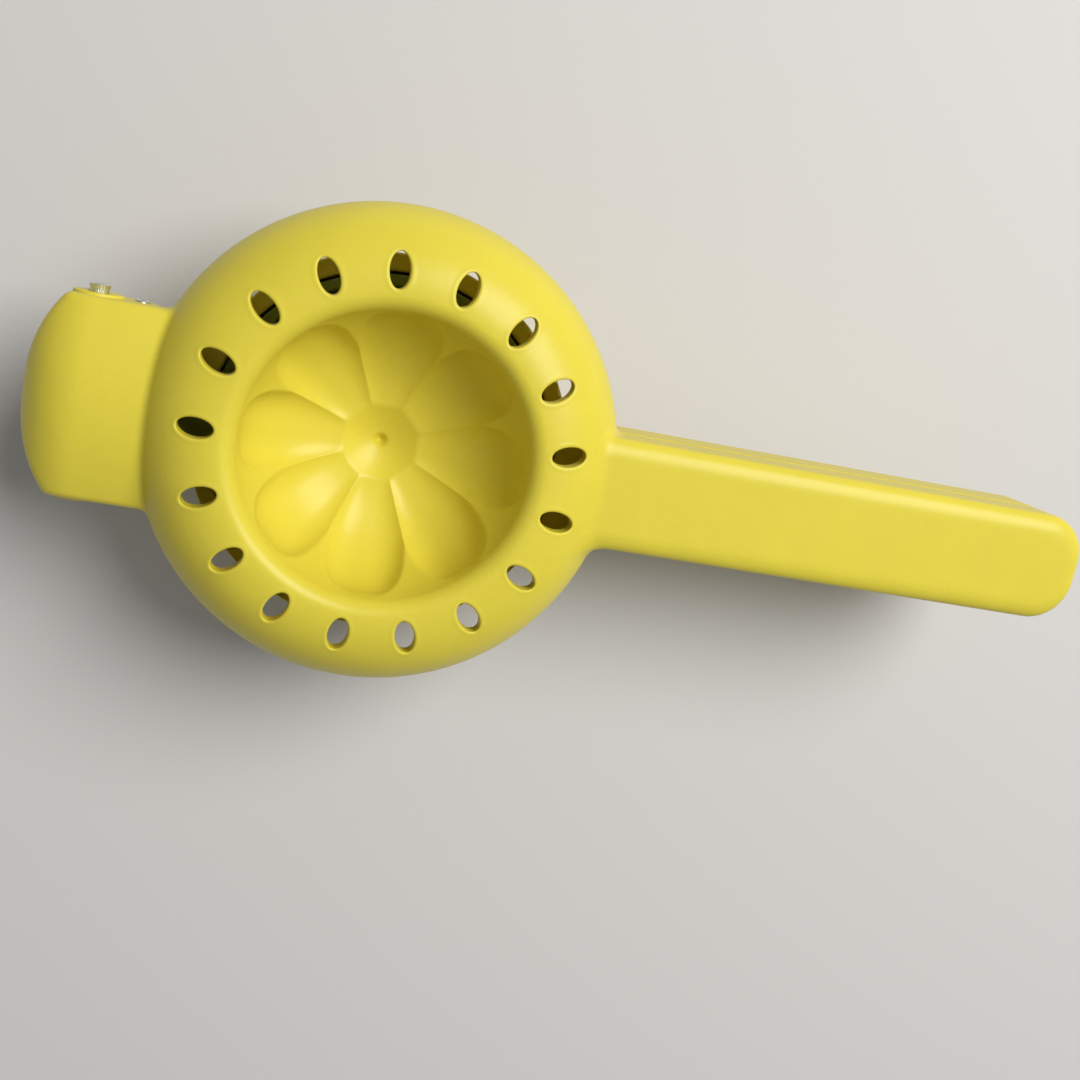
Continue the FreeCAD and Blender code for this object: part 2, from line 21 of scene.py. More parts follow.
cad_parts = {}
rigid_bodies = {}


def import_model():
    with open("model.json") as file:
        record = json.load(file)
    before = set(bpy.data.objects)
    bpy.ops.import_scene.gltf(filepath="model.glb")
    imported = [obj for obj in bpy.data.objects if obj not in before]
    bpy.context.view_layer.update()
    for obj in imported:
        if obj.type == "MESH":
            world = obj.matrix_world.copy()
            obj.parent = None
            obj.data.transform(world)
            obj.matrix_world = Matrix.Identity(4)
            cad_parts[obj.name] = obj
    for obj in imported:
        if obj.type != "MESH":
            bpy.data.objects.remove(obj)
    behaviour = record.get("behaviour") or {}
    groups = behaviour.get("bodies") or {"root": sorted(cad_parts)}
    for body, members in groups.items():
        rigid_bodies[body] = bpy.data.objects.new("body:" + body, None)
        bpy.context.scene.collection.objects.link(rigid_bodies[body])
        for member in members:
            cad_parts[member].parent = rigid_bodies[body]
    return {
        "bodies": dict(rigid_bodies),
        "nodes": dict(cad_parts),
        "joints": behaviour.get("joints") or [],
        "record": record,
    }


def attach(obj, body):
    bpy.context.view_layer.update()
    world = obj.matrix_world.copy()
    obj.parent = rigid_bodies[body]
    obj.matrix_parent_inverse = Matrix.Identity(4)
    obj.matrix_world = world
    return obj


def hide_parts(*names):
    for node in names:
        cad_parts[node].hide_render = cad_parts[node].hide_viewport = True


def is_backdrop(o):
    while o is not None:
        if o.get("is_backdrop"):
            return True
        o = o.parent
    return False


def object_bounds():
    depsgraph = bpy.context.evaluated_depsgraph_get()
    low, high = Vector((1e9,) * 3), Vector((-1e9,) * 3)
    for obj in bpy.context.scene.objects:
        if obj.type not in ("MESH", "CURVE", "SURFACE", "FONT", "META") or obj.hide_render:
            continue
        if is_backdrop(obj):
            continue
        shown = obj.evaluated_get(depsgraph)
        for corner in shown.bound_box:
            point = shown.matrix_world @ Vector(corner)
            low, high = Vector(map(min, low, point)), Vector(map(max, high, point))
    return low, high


log = logging.getLogger("squeezer")

MM = 0.001
RIM_LEVEL = 38.0
FULL_TURN = 2.0 * math.pi
RIGHT_ANGLE = math.pi / 2.0
ON_MIDDLE = (1.0, 0.0, 1.0)
HALVINGS = 34
WELD_DISTANCE = 3e-6
SHORTEST_EDGE = 1e-7
HINGE_PIN_X = -57.2
CUP_PIN_X = -49.2
PIN_LEVEL = -1.5
YELLOW = (0.70, 0.585, 0.052)
NOISE_MEAN = 0.5
MIX_FACTOR, MIX_FIRST, MIX_SECOND, MIX_RESULT = 0, 6, 7, 2
Pair = tuple[float, float]
Triple = tuple[float, float, float]
Steps = tuple[float, ...]
Array = np.ndarray
Field = Callable[[Array], Array]
Tree = bpy.types.NodeTree


class Side(Enum):
    """The two long sides of the squeezer, by the sign of Y."""

    LEFT = 1.0
    RIGHT = -1.0

    @property
    def mirror(self) -> Array:
        """Factors that bring a point of the left side to this one."""
        return np.array([1.0, self.value, 1.0])


def rounded_max(a: Array, b: Array, width: float) -> Array:
    """Larger of two values, with the step between them rounded.

    Formula: max(a, b) plus h squared times width over four, where h falls from
    one to zero as the two values move apart by width.

    Args:
        a: First values.
        b: Second values.
        width: Difference at which the rounding ends.

    Returns:
        The rounded maximum.
    """
    share = np.maximum(width - np.abs(a - b), 0.0) / width
    return np.maximum(a, b) + share * share * width / 4.0


def reach(points: Array, course: Array, inside: Field, width: float, far: float) -> Array:
    """How far each point has to move to lie on a surface blended with a body.

    Formula: the root t of rounded_max(-t, inside(point + course * t), width),
    found by halving. Points further than width from the body stay in place.

    Args:
        points: Points on the plain surface, last axis x, y, z.
        course: Unit directions, same shape.
        inside: Depth inside the body, negative outside it.
        width: Width of the blend.
        far: Longest move.

    Returns:
        The distance to move along course.
    """
    low = np.zeros(points.shape[:-1])
    high = np.full(low.shape, far)
    touched = inside(points) > -width
    for _ in range(HALVINGS):
        middle = (low + high) / 2.0
        value = rounded_max(-middle, inside(points + course * middle[..., None]), width)
        low = np.where(value > 0.0, middle, low)
        high = np.where(value > 0.0, high, middle)
    return np.where(touched, low, 0.0)


def turns(count: int) -> Array:
    """Angles that share out a full turn."""
    return np.arange(count) * FULL_TURN / count


def pack(*parts: Array | float) -> Array:
    """Points from their coordinates, broadcast together."""
    return np.stack(np.broadcast_arrays(*parts), axis=-1)


def plan_points(radius: Array, angle: Array, height: Array) -> Array:
    """Points from a distance and an angle about the ring's axis, and a height."""
    return pack(radius * np.cos(angle), radius * np.sin(angle), height)


def turned(x: float, along: Array, radius: Array, angle: Array) -> Array:
    """Points turned about a line along Y, at the pins' level."""
    return pack(x + radius * np.cos(angle), along, PIN_LEVEL + radius * np.sin(angle))


def arc_points(centre: Pair, radius: float, angle: Array) -> Array:
    """Points on an arc, at these angles about its centre."""
    return pack(centre[0] + radius * np.cos(angle), centre[1] + radius * np.sin(angle))


def arc_centre(start: Pair, stop: Pair, radius: float) -> Pair:
    """Centre of the arc that sags to the right of the way from start to stop."""
    run, rise = stop[0] - start[0], stop[1] - start[1]
    length = math.hypot(run, rise)
    lift = math.sqrt(radius ** 2 - length ** 2 / 4.0) / length
    return ((start[0] + stop[0]) / 2.0 - rise * lift, (start[1] + stop[1]) / 2.0 + run * lift)


def add_object(name: str, data: bpy.types.ID) -> bpy.types.Object:
    """Make an object from its data and put it in the scene."""
    made = bpy.data.objects.new(name, data)
    bpy.context.scene.collection.objects.link(made)
    return made


class Shell:
    """Grids of points that are welded into one mesh."""

    def __init__(self) -> None:
        """Start with no points."""
        self.points: list[Array] = []
        self.faces: list[Array] = []
        self.count = 0

    def grid(self, points: Array, loop: bool = False, keep: Array | None = None) -> None:
        """Add a sheet of four-sided faces between neighbouring points.

        Args:
            points: Rows by columns by x, y, z.
            loop: Whether the last column meets the first.
            keep: Which faces stay, rows minus one by the number of columns.
        """
        rows, columns = points.shape[:2]
        index = self.count + np.arange(rows * columns).reshape(rows, columns)
        here, there = (index, np.roll(index, -1, 1)) if loop else (index[:, :-1], index[:, 1:])
        quads = np.stack([here[:-1], there[:-1], there[1:], here[1:]], axis=-1)
        quads = quads.reshape(-1, 4) if keep is None else quads[keep]
        self.points.append(points.reshape(-1, 3))
        self.faces.append(quads)
        self.count += rows * columns

    def halve(self, fine: Array, coarse: Array) -> None:
        """Join a closed row of points to one with half as many.

        Args:
            fine: Points of the row with twice the points.
            coarse: Points of the other row.
        """
        few = len(coarse)
        far = self.count + np.arange(few)
        near = self.count + few + np.arange(2 * few).reshape(few, 2)
        after = np.roll(far, -1)
        for fan in ((far, near[:, 0], near[:, 1]), (far, near[:, 1], after),
                    (after, near[:, 1], np.roll(near[:, 0], -1))):
            self.faces.append(np.stack(fan, axis=-1))
        self.points += [coarse, fine]
        self.count += 3 * few

    def build(self, name: str, sharp: float) -> bpy.types.Object:
        """Weld the grids and turn all faces outwards.

        Args:
            name: Name of the new object.
            sharp: Edges bent by more than this many degrees stay sharp.

        Returns:
            The object, in metres, with its place in its mesh.
        """
        points = np.concatenate(self.points)
        points[:, 2] += RIM_LEVEL
        mesh = bpy.data.meshes.new(name)
        faces = [face for block in self.faces for face in block.tolist()]
        mesh.from_pydata((points * MM).tolist(), [], faces)
        work = bmesh.new()
        work.from_mesh(mesh)
        bmesh.ops.remove_doubles(work, verts=work.verts, dist=WELD_DISTANCE)
        bmesh.ops.dissolve_degenerate(work, dist=SHORTEST_EDGE, edges=work.edges)
        bmesh.ops.recalc_face_normals(work, faces=work.faces)
        work.to_mesh(mesh)
        work.free()
        mesh.shade_smooth()
        mesh.set_sharp_from_angle(angle=math.radians(sharp))
        return add_object(name, mesh)


@dataclass(frozen=True)
class Petal:
    """One scoop of the recess: a spindle about a tilted axis."""

    start: Pair = (8.6, -5.5)
    stop: Pair = (28.0, 12.0)
    axis: float = 4.5
    swell: float = 5.35
    peak: float = 14.5
    inner_arc: float = 25.0
    outer_arc: float = 13.5
    inner_end: float = -0.7
    outer_end: float = 25.1
    crease: float = 0.12
    flat: Pair = (0.76, 0.9)
    width: Triple = (3.4, 0.38, 7.2)
    squareness: float = 1.55
    count: int = 8

    def depth(self, points: Array, grow: float = 0.0) -> Array:
        """Depth inside the nearest petal, or inside the next one if deeper.

        Formula: the spindle's radius, two arcs that meet at the peak, minus
        the distance from its axis. Distances across the petal are a power of
        their share of its half width: a flat floor with steep sides.

        Args:
            points: Places, last axis x, y, z.
            grow: How much larger the spindle is made.

        Returns:
            The depth, negative outside.
        """
        radius = np.hypot(points[..., 0], points[..., 1])
        angle = np.arctan2(points[..., 1], points[..., 0])
        step = FULL_TURN / self.count
        near = np.abs(angle - np.round(angle / step) * step)
        first = self._spindle(radius, near, points[..., 2], grow)
        second = self._spindle(radius, step - near, points[..., 2], grow)
        return rounded_max(first, second, self.crease)

    def _spindle(self, radius: Array, angle: Array, height: Array, grow: float) -> Array:
        """Depth inside the one spindle whose axis lies at angle zero."""
        run, rise = self.stop[0] - self.start[0], self.stop[1] - self.start[1]
        length = math.hypot(run, rise)
        run, rise = run / length, rise / length
        out = radius * np.cos(angle) - (self.start[0] - rise * self.axis)
        up = height - (self.start[1] + run * self.axis)
        along = out * run + up * rise
        down = out * rise - up * run
        held = np.clip(along, self.inner_end, self.outer_end)
        arc = np.where(held < self.peak, self.inner_arc, self.outer_arc)
        thick = self.axis + self.swell + grow - arc + np.sqrt(arc * arc - (self.peak - held) ** 2)
        near, far = self.flat
        flat = near + (far - near) * np.clip(along / self.peak, 0.0, 1.0)
        narrow, growth, broad = self.width
        half = np.minimum(narrow + growth * np.maximum(along, 0.0), broad)
        aside = flat * half * (np.abs(radius * np.sin(angle)) / half) ** self.squareness
        return thick - np.abs(along - held) - np.hypot(down, aside)


@dataclass(frozen=True)
class StrainerRing:
    """The ring with its drain slots and the petalled recess inside it.

    Around each slot lies a cell of the mesh: loops that turn from its border
    into ellipses, by border_shares, and close in on the slot, by slot_gaps.
    """

    radius: float = 47.5
    tube: float = 16.5
    wall: float = 3.0
    lip: float = 3.4
    bowl_arc: float = 26.0
    dimple: Pair = (1.9, 1.7)
    hub_low: float = -8.7
    hub_curve: float = 1.35
    hub_boss: float = 3.1
    dome_wall: float = 2.4
    roof_step: float = 1.8
    slot_count: int = 17
    slot_circle: float = 35.2
    slot_half: Pair = (3.45, 1.95)
    slot_lip: float = 0.4
    slot_swell: float = 0.05
    swell_gap: Pair = (0.62, 0.34)
    slot_cell: Pair = (5.1, 6.5)
    slot_gaps: Steps = (
        1.5, 1.2, 0.95, 0.75, 0.6, 0.48, 0.36, 0.25, 0.15, 0.07, 0.02, 0.0)
    border_shares: Steps = (0.0, 0.22, 0.42, 0.6, 0.76, 0.89)
    border_gap: float = 4.0
    under_loops: tuple[int, ...] = (0, 1, 2, 3, 4, 5, 6, 8, 11, 17)
    band: Pair = (30.2, 40.4)
    band_columns: int = 12
    window: float = 3.6
    window_columns: int = 14
    wall_turn: float = 1.545
    wall_columns: tuple[int, int] = (12, 4)
    rim_steps: Pair = (0.12, 0.4)
    columns_per_slot: int = 16
    petal_edge: float = 0.4
    dome_edge: float = 1.0
    deepest: float = 9.0
    hub_rows: int = 12
    recess_rows: int = 87
    petal: Petal = Petal()

    @property
    def columns(self) -> int:
        """Columns all round; a multiple of the slots and of twice the petals."""
        return self.slot_count * self.columns_per_slot

    @property
    def crown(self) -> float:
        """Distance of the ring's highest line from its axis."""
        return self.radius - self.tube

    def top_height(self, radius: Array) -> Array:
        """Height of the ring's top: the tube's arc, and the lip's arc inside it."""
        outer = np.sqrt(np.maximum(self.tube ** 2 - (radius - self.crown) ** 2, 0.0))
        inner = self.tube - self.lip + np.sqrt(
            np.maximum(self.lip ** 2 - (radius - self.crown) ** 2, 0.0))
        return np.where(radius > self.crown, outer, inner)

    def under_height(self, radius: Array) -> Array:
        """Height of the ring's underside: the trough's arc, its step and the dome."""
        inside = self.tube - self.wall
        edge = self.crown + self.roof_step
        roof = math.sqrt(inside ** 2 - self.roof_step ** 2)
        centre, arc, (out, high) = self.dome_arc()
        trough = np.sqrt(np.maximum(inside ** 2 - (radius - self.crown) ** 2, 0.0))
        slope = high + (radius - out) * (roof - high) / (edge - out)
        dome = centre[1] - np.sqrt(np.maximum(arc ** 2 - (radius - centre[0]) ** 2, 0.0))
        return np.where(radius > edge, trough, np.where(radius > out, slope, dome))

    def bowl_centre(self) -> Pair:
        """Centre of the recess's arc, which starts at the hub and meets the lip.

        Formula: the crossing of two circles, bowl_arc around the petals' start
        and bowl_arc + lip around the lip's own centre.
        """
        start, radius = self.petal.start, self.bowl_arc
        run, rise = self.crown - start[0], self.tube - self.lip - start[1]
        span = math.hypot(run, rise)
        run, rise = run / span, rise / span
        along = (radius ** 2 - (radius + self.lip) ** 2 + span ** 2) / (2.0 * span)
        across = math.sqrt(radius ** 2 - along ** 2)
        return (start[0] + run * along - rise * across, start[1] + rise * along + run * across)

    def dome_arc(self) -> tuple[Pair, float, Pair]:
        """Centre, radius and upper end of the arc of the dome's underside."""
        (near, low), (far, high), wall = self.petal.start, self.petal.stop, self.dome_wall
        edge, radius = (far + wall, high - wall), self.bowl_arc + wall
        return arc_centre((near, low - wall), edge, radius), radius, edge

    def recess_section(self) -> Array:
        """Section of the recess from its middle to the slots' band.

        Returns:
            Rows of distance and height.
        """
        start = self.petal.start
        across, deep = self.dimple
        dip = np.linspace(0.0, 1.0, 7)
        hub = np.concatenate([np.linspace(0.0, 0.66, 6)[1:], np.linspace(0.68, 1.0, 7)])
        centre = self.bowl_centre()
        lip_low = self.tube - self.lip
        meet = math.atan2(lip_low - centre[1], self.crown - centre[0])
        turn = np.linspace(math.atan2(start[1] - centre[1], start[0] - centre[0]), meet, 70)[1:]
        last = math.acos((self.crown - self.band[0]) / self.lip)
        curl = np.linspace(-meet, last, 12)[1:]
        return np.concatenate([
            pack(across * dip, self.hub_low - deep * (1 - dip ** 2 * (3 - 2 * dip))),
            pack(across + (start[0] - across) * hub,
                 self.hub_low + (start[1] - self.hub_low) * hub ** self.hub_curve),
            arc_points(centre, self.bowl_arc, turn),
            pack(self.crown - self.lip * np.cos(curl), lip_low + self.lip * np.sin(curl)),
        ])

    def dome_section(self) -> Array:
        """Section of the dome's underside, from its middle to the slots' band."""
        start, (centre, arc, _) = self.petal.start, self.dome_arc()
        low = start[1] - self.dome_wall
        hub = np.linspace(0.0, 1.0, 8)
        turn = np.linspace(math.atan2(low - centre[1], start[0] - centre[0]),
                           -math.acos((self.band[0] - centre[0]) / arc), 30)[1:]
        return np.concatenate([
            pack(start[0] * hub, low - self.hub_boss * (1.0 - hub)),
            arc_points(centre, arc, turn),
        ])

    def carve(self, section: Array, grow: float, width: float, finer: int) -> Array:
        """Turn a section about the axis and press the petals into it at right angles.

        Args:
            section: Rows of distance and height.
            grow: How much larger the petals are than the scoops.
            width: Width of the blend along the petals' edges.
            finer: How many columns there are in place of one.

        Returns:
            Rows by columns by x, y, z.
        """
        angles = turns(self.columns * finer)
        slope = np.gradient(section, axis=0)
        slope /= np.maximum(np.linalg.norm(slope, axis=1, keepdims=True), 1e-9)
        down = pack(slope[:, 1], -slope[:, 0])
        plain = plan_points(section[:, :1], angles, section[:, 1:])
        course = plan_points(down[:, :1], angles, down[:, 1:])

        def inside(points: Array) -> Array:
            """Depth inside the petals."""
            return self.petal.depth(points, grow)

        return plain + course * reach(plain, course, inside, width, self.deepest)[..., None]

    def slot_rings(self, slot: int) -> tuple[Array, Array]:
        """Loops of plan points from a slot's cell to its edge.

        Args:
            slot: Which slot.

        Returns:
            Plan points, loops by points by x, y, and each ellipse's distance
            from the slot's edge.
        """
        half = math.pi / self.slot_count
        across = np.linspace(-half, half, self.columns_per_slot + 1)
        along = np.linspace(*self.band, self.band_columns + 1)
        radius = np.concatenate([np.full(across.size - 1, self.band[0]), along[:-1],
                                 np.full(across.size - 1, self.band[1]), along[:0:-1]])
        angle = np.concatenate([across[:-1], np.full(along.size - 1, half),
                                across[:0:-1], np.full(along.size - 1, -half)])
        border = pack(radius * np.cos(angle) - self.slot_circle, radius * np.sin(angle))
        place = np.arctan2(border[:, 1] / self.slot_cell[1], border[:, 0] / self.slot_cell[0])
        spread = pack(np.cos(place), np.sin(place))
        loops = [(np.array(self.slot_half) + gap) * spread for gap in self.slot_gaps]
        shares = np.array(self.border_shares)[:, None, None]
        outer = border * (1.0 - shares) + loops[0] * shares
        local = np.concatenate([outer, np.array(loops)])
        turn = math.pi + slot * FULL_TURN / self.slot_count
        x = local[..., 0] + self.slot_circle
        plan = pack(x * math.cos(turn) - local[..., 1] * math.sin(turn),
                    x * math.sin(turn) + local[..., 1] * math.cos(turn))
        return plan, np.concatenate([np.full(shares.size, self.border_gap), self.slot_gaps])

    def add_slot(self, shell: Shell, slot: int) -> None:
        """Add a slot's cell on both sides of the wall, and the slot's own wall.

        Formula: the top swells by a bell curve around the slot and rounds over
        its edge by a quarter circle.

        Args:
            shell: Where the faces go.
            slot: Which slot.
        """
        plan, gap = self.slot_rings(slot)
        radius = np.linalg.norm(plan, axis=-1)
        top, under = self.top_height(radius), self.under_height(radius)
        peak, spread = self.swell_gap
        swell = self.slot_swell * np.exp(-((gap - peak) / spread) ** 2)
        held = np.clip(self.slot_lip - gap, 0.0, self.slot_lip)
        drop = self.slot_lip - np.sqrt(self.slot_lip ** 2 - held ** 2)
        lipped = top + (swell - drop)[:, None]
        above = np.concatenate([plan, lipped[..., None]], -1)
        below = np.concatenate([plan, under[..., None]], -1)[list(self.under_loops)]
        share = np.linspace(0.0, 1.0, 6)[:, None, None]
        shell.grid(above, loop=True)
        shell.grid(below, loop=True)
        shell.grid(above[-1] * (1.0 - share) + below[-1] * share, loop=True)

    def wall_rows(self, tube: float, inward: float) -> Array:
        """Rows down one face of the ring's wall, from the slots' band to the rim.

        Args:
            tube: Radius of that face's arc.
            inward: Sign of the way from this face into the wall.

        Returns:
            Rows of distance and height.
        """
        first = math.asin((self.band[1] - self.crown) / tube)
        split = math.acos(self.window / tube)
        upper, lower = self.wall_columns
        turn = np.concatenate([np.linspace(first, split, upper + 1),
                               np.linspace(split, self.wall_turn, lower + 1)[1:]])
        arc = pack(self.crown + tube * np.sin(turn), tube * np.cos(turn))
        face, (near, far) = self.crown + tube, self.rim_steps
        rim = [[face + inward * near, near], [face + inward * far, 0.0],
               [self.radius - self.wall / 2.0, 0.0]]
        return np.concatenate([arc, rim])

    def dress(self) -> bpy.types.Object:
        """Build the ring as one closed shell."""
        shell = Shell()
        recess = self.carve(self.recess_section(), 0.0, self.petal_edge, 2)
        plain, last = self.hub_rows, self.recess_rows
        shell.grid(recess[:plain, ::2], loop=True)
        shell.halve(recess[plain], recess[plain - 1, ::2])
        shell.grid(recess[plain:last], loop=True)
        shell.halve(recess[last - 1], recess[last, ::2])
        shell.grid(recess[last:, ::2], loop=True)
        shell.grid(self.carve(self.dome_section(), self.dome_wall, self.dome_edge, 1), loop=True)
        for slot in range(self.slot_count):
            self.add_slot(shell, slot)
        self.add_wall(shell)
        return shell.build("strainer_ring", sharp=32.0)

    def add_wall(self, shell: Shell) -> None:
        """Add both faces of the ring's wall, with the window that the hinge needs."""
        centre, half, split = self.columns // 2, self.window_columns, self.wall_columns[0]
        column = np.arange(self.columns)
        in_window = (column >= centre - half) & (column < centre + half)
        faces = []
        for tube, inward in ((self.tube, -1.0), (self.tube - self.wall, 1.0)):
            rows = self.wall_rows(tube, inward)
            points = plan_points(rows[:, :1], turns(self.columns), rows[:, 1:])
            keep = ~((np.arange(len(rows) - 1) >= split)[:, None] & in_window[None, :])
            shell.grid(points, loop=True, keep=keep)
            faces.append(points)
        outer, inner = faces
        opened = slice(centre - half, centre + half + 1)
        shell.grid(np.stack([outer[split, opened], inner[split, opened]]))
        for edge in (centre - half, centre + half):
            shell.grid(np.stack([outer[split:, edge], inner[split:, edge]]))

    def depth(self, points: Array) -> Array:
        """Depth inside the ring's rounded body, negative outside."""
        out = np.hypot(points[..., 0], points[..., 1]) - self.crown
        return self.tube - np.hypot(out, np.maximum(points[..., 2], 0.0))

    def meet(self, height: float, across: float) -> float:
        """Distance along X to the ring's rounded body, at a height and a place across."""
        far = self.crown + math.sqrt(max(self.tube ** 2 - height ** 2, 0.0))
        return math.sqrt(far ** 2 - across ** 2)

    def join(self, points: Array, facing: Pair, width: float, run: float) -> Array:
        """Move points of an arm out onto its rounded joint with the ring.

        Args:
            points: Points by x, y, z.
            facing: Way that the arm's surface faces, by y, z.
            width: Width of the blend.
            run: How far outside the ring the moves end.

        Returns:
            The moved points.
        """
        course = np.broadcast_to([0.0, *facing], points.shape)
        move = reach(points, course, self.depth, width, width)
        at_root = np.abs(points[:, 0]) < self.radius + run
        return points + course * (move * at_root)[:, None]


@dataclass(frozen=True)
class SectionRow:
    """One line along an arm: inset from its outline, height, and way it faces."""

    inset: float
    height: float
    out: float
    up: float


@dataclass(frozen=True)
class UpperHandle:
    """The strainer arm's handle: flat top, rounded edges, open underneath.

    wall_rows and flat_insets place the rows of its cross-section, root_steps
    and columns the points along each row. blend_side is for left and right.
    """

    half: float = 11.3
    tip: float = 149.4
    corner: float = 9.0
    top: float = 12.0
    edge: Pair = (4.1, 2.4)
    wall_rows: tuple[Pair, ...] = (
        (1.0, 0.05), (0.6, 0.09), (0.28, 0.24), (0.07, 0.52), (0.0, 0.95),
        (0.0, 2.2), (0.0, 3.8), (0.0, 5.5), (0.0, 7.2), (0.0, 8.6))
    edge_rows: int = 10
    flat_insets: Steps = (5.2, 6.5, 8.1, 9.7)
    skin: float = 2.5
    channel_start: float = 50.0
    channel_low: float = 0.4
    channel_round: Pair = (1.0, 0.3)
    channel_flat: float = 7.0
    root_steps: Steps = (
        0.0, 0.35, 0.7, 1.1, 1.5, 2.0, 2.5, 3.1, 3.8, 4.6, 5.6, 7.0, 9.0)
    columns: tuple[int, int, int] = (25, 11, 5)
    blend_top: float = 1.2
    blend_side: Pair = (1.8, 4.0)
    blend_run: float = 12.0

    def rows(self) -> list[SectionRow]:
        """Rows of the cross-section from the lower edge to the middle line.

        Formula: the upper edge is a quarter of an ellipse.
        """
        across, drop = self.edge
        wall = [SectionRow(inset, height, 1.0, 0.0) for inset, height in self.wall_rows]
        edge = []
        for turn in np.linspace(0.0, RIGHT_ANGLE, self.edge_rows):
            out, up = drop * math.cos(turn), across * math.sin(turn)
            length = math.hypot(out, up)
            edge.append(SectionRow(across * (1.0 - math.cos(turn)),
                                   self.top - drop * (1.0 - math.sin(turn)),
                                   out / length, up / length))
        flat = [SectionRow(inset, self.top, 0.0, 1.0) for inset in (*self.flat_insets, self.half)]
        return [*wall, *edge, *flat]

    def line(self, inset: float, start: float) -> Array:
        """Plan of one row on the left side, from the ring to the tip's middle.

        Args:
            inset: Distance inside the outline.
            start: X where the row starts.

        Returns:
            Plan points.
        """
        bend = max(self.corner, inset)
        last = self.tip - bend
        sides, corners, ends = self.columns
        near = start + np.array(self.root_steps)
        x = np.concatenate([near, np.linspace(near[-1], last, sides + 1)[1:]])
        turn = np.linspace(RIGHT_ANGLE, 0.0, corners + 1)[1:]
        curl = max(self.corner - inset, 0.0)
        across = (self.half - bend) * np.linspace(1.0 - 1.0 / ends, 0.0, ends)
        return np.concatenate([pack(x, self.half - inset),
                               arc_points((last, self.half - bend), curl, turn),
                               pack(last + curl, across)])

    def half_skin(self, ring: StrainerRing, side: Side) -> Array:
        """Outer skin of one half, blended into the ring.

        Args:
            ring: The ring that the handle grows from.
            side: Which half.

        Returns:
            Rows by points by x, y, z.
        """
        skin = []
        blend = dict(zip(Side, self.blend_side))[side]
        for row in self.rows():
            width = self.blend_top + (blend - self.blend_top) * row.out
            start = ring.meet(row.height + row.up * width, self.half - row.inset + row.out * width)
            points = pack(*self.line(row.inset, start).T, row.height)
            skin.append(ring.join(points, (row.out, row.up), width, self.blend_run))
        return np.array(skin) * side.mirror

    def channel(self) -> Array:
        """Skin of the channel's left half, from its lower edge to the middle line."""
        depth, wall, (broad, narrow) = self.top - self.skin, self.skin, self.channel_round
        rows = ((wall, self.wall_rows[0][1]), (wall, self.channel_low), (wall, depth - broad),
                (wall + narrow, depth - narrow), (wall + broad, depth),
                (self.channel_flat, depth), (self.half, depth))
        return np.array([pack(*self.line(inset, self.channel_start).T, height)
                         for inset, height in rows])

    def dress(self, ring: StrainerRing) -> bpy.types.Object:
        """Build the handle with its channel underneath."""
        shell = Shell()
        for side in Side:
            outer, inner = self.half_skin(ring, side), self.channel() * side.mirror
            end = inner[:, 0]
            middle = end * ON_MIDDLE
            shell.grid(outer)
            shell.grid(inner)
            shell.grid(np.stack([outer[0], inner[0]]))
            shell.grid(np.stack([end, middle]))
            root = np.stack([outer[0, 0], outer[0, 0] * ON_MIDDLE])
            shell.grid(np.stack([root, np.stack([end[0], middle[0]])]))
        return shell.build("upper_handle", sharp=34.0)


